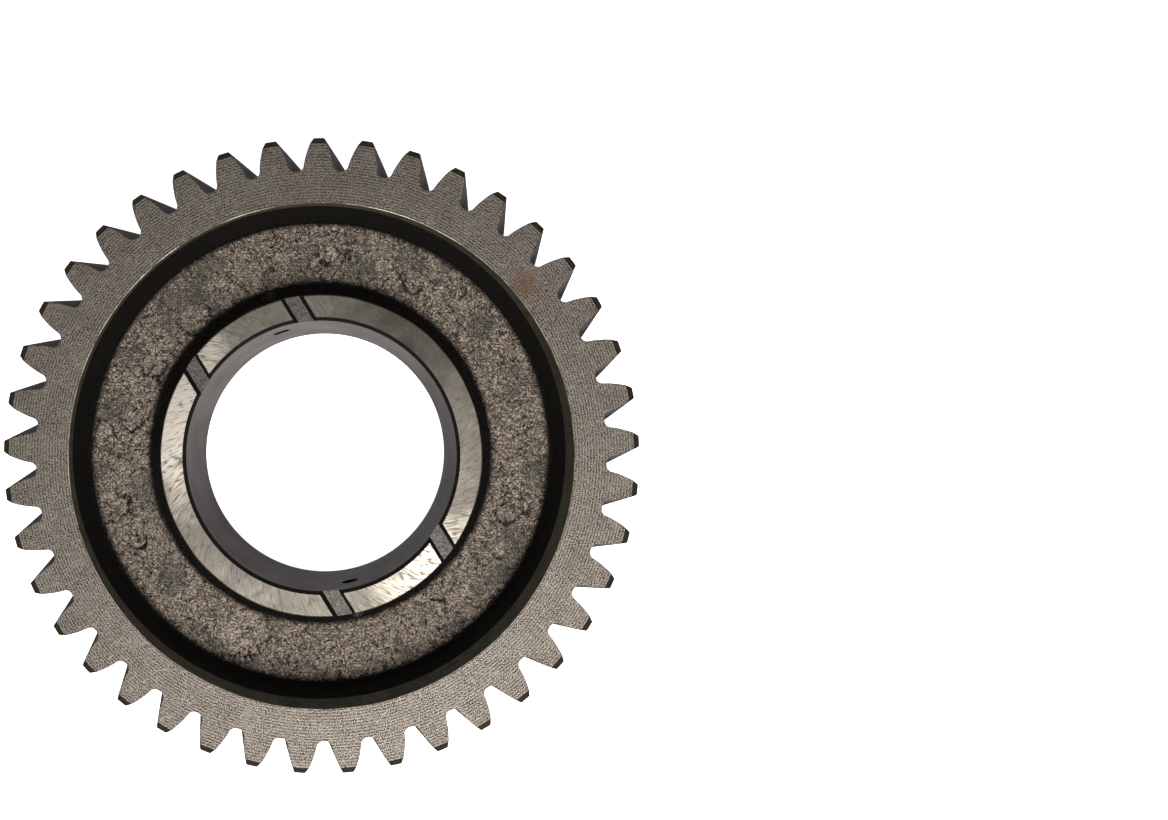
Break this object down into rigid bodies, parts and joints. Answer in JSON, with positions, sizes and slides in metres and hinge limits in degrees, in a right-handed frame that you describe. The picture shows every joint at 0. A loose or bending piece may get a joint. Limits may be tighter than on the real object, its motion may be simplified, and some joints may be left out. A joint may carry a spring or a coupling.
{
  "type": "mainshaft gear",
  "caption": "One-piece helical mainshaft gear: toothed rim, recessed web and a hub with a plain bore, oil grooves across its thrust face and radial oil holes.",
  "frame": {"origin": "on the axis of the bore, in the plane of the rear thrust face that the gear stands on", "axes": "+Z along the bore towards the grooved front thrust face, +X to the right and +Y up in the picture"},
  "size_m": [0.1746, 0.1746, 0.0355],
  "materials": {
    "gear_steel": "forged web with dull scale, turned rim face, ground thrust faces and bore"
  },
  "bodies": {
    "root": {"mainshaft_gear": "gear_steel"}
  },
  "joints": []
}
